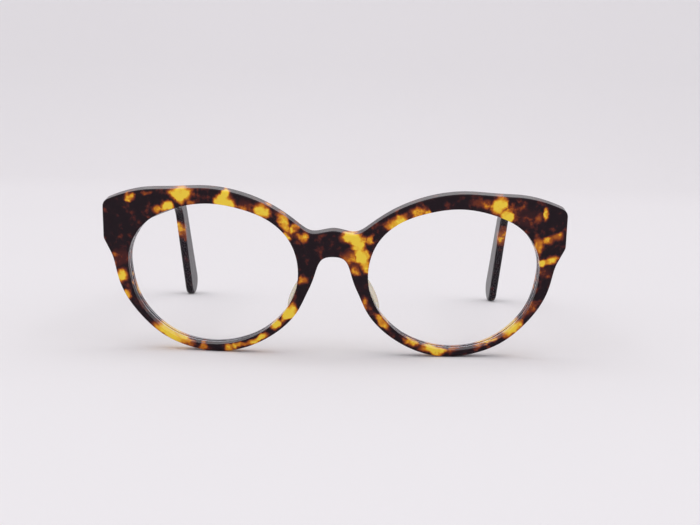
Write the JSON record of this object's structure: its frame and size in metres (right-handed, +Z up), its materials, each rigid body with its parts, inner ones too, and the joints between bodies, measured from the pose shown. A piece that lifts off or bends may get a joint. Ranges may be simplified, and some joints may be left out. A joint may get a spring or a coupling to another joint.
{
  "type": "acetate spectacles",
  "caption": "Full-rim acetate spectacles with rounded lens openings, an arched bridge, glued nose pads and two folding temples with curved ear ends.",
  "frame": {"origin": "on the table plane, under the middle of the object's bounding box, standing open on its rims and temple tips", "axes": "+X to the wearer's left, +Y from the front back to the temple tips, +Z up"},
  "size_m": [0.1402, 0.1388, 0.0511],
  "materials": {
    "acetate": "polished tortoiseshell acetate",
    "pad_acetate": "polished honey acetate",
    "lens": "clear, polished",
    "hinge_metal": "nickel silver, satin",
    "screw_steel": "stainless, bright",
    "washer": "nylon",
    "core_wire": "nickel silver, drawn"
  },
  "bodies": {
    "front": {"front": "acetate", "lens_left": "lens", "nose_pad_left": "pad_acetate", "hinge_front_left": "hinge_metal", "hinge_screw_left": "screw_steel", "hinge_washers_left": "washer", "front_hinge_pins_left": "hinge_metal", "lens_right": "lens", "nose_pad_right": "pad_acetate", "hinge_front_right": "hinge_metal", "hinge_screw_right": "screw_steel", "hinge_washers_right": "washer", "front_hinge_pins_right": "hinge_metal"},
    "temple_left": {"temple_left": "acetate", "temple_core_left": "core_wire", "hinge_temple_left": "hinge_metal", "temple_rivets_left": "hinge_metal"},
    "temple_right": {"temple_right": "acetate", "temple_core_right": "core_wire", "hinge_temple_right": "hinge_metal", "temple_rivets_right": "hinge_metal"}
  },
  "joints": [
    {"name": "temple_left_fold", "type": "hinge", "parent": "front", "child": "temple_left", "pos_m": [0.06532, -0.05564, 0.04071], "axis": [0, -0.1736, 0.9848], "range_deg": [0, 80]},
    {"name": "temple_right_fold", "type": "hinge", "parent": "front", "child": "temple_right", "pos_m": [-0.06532, -0.05564, 0.04071], "axis": [0, 0.1736, -0.9848], "range_deg": [0, 86]}
  ]
}
